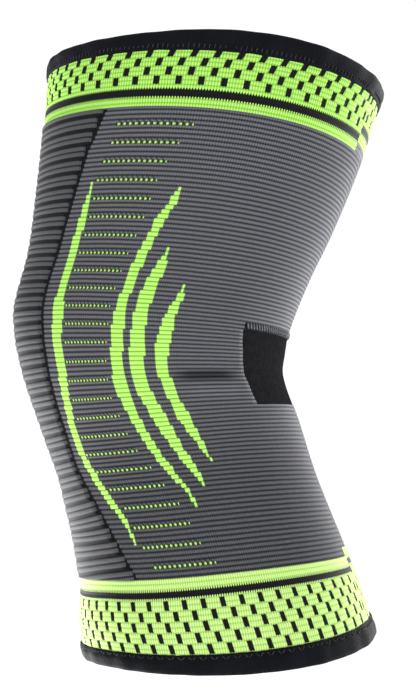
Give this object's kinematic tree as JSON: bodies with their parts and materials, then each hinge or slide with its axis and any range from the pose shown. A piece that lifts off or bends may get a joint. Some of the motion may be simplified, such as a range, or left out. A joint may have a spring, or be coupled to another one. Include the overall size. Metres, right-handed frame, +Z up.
{
  "type": "knee sleeve",
  "caption": "Pull-on elastic knit sleeve for a slightly bent knee, with a ribbed front panel, patterned cuffs and rolled edge tapes.",
  "frame": {"origin": "middle of the knee section, inside the hollow, where a leg holds the sleeve", "axes": "+Z up the leg from calf to thigh, -Y toward the kneecap, +Y toward the hollow of the knee, +X toward one side"},
  "size_m": [0.1444, 0.1776, 0.2686],
  "materials": {
    "binding": "soft rolled elastic tape, navy black, with a light cover stitch",
    "cuff_knit": "ribbed elastic knit in lime with black blocks and stripes",
    "leg_knit": "fine horizontal ribs in slate grey with dark lines, lime dot rows and lime support lines",
    "panel_knit": "thick rib knit in ash grey with dark valleys",
    "window_knit": "close fine knit, near black, matte"
  },
  "bodies": {
    "root": {"top_binding": "binding", "top_cuff": "cuff_knit", "leg_tube": "leg_knit", "front_panel": "panel_knit", "popliteal_panel": "window_knit", "bottom_cuff": "cuff_knit", "bottom_binding": "binding"}
  },
  "joints": []
}
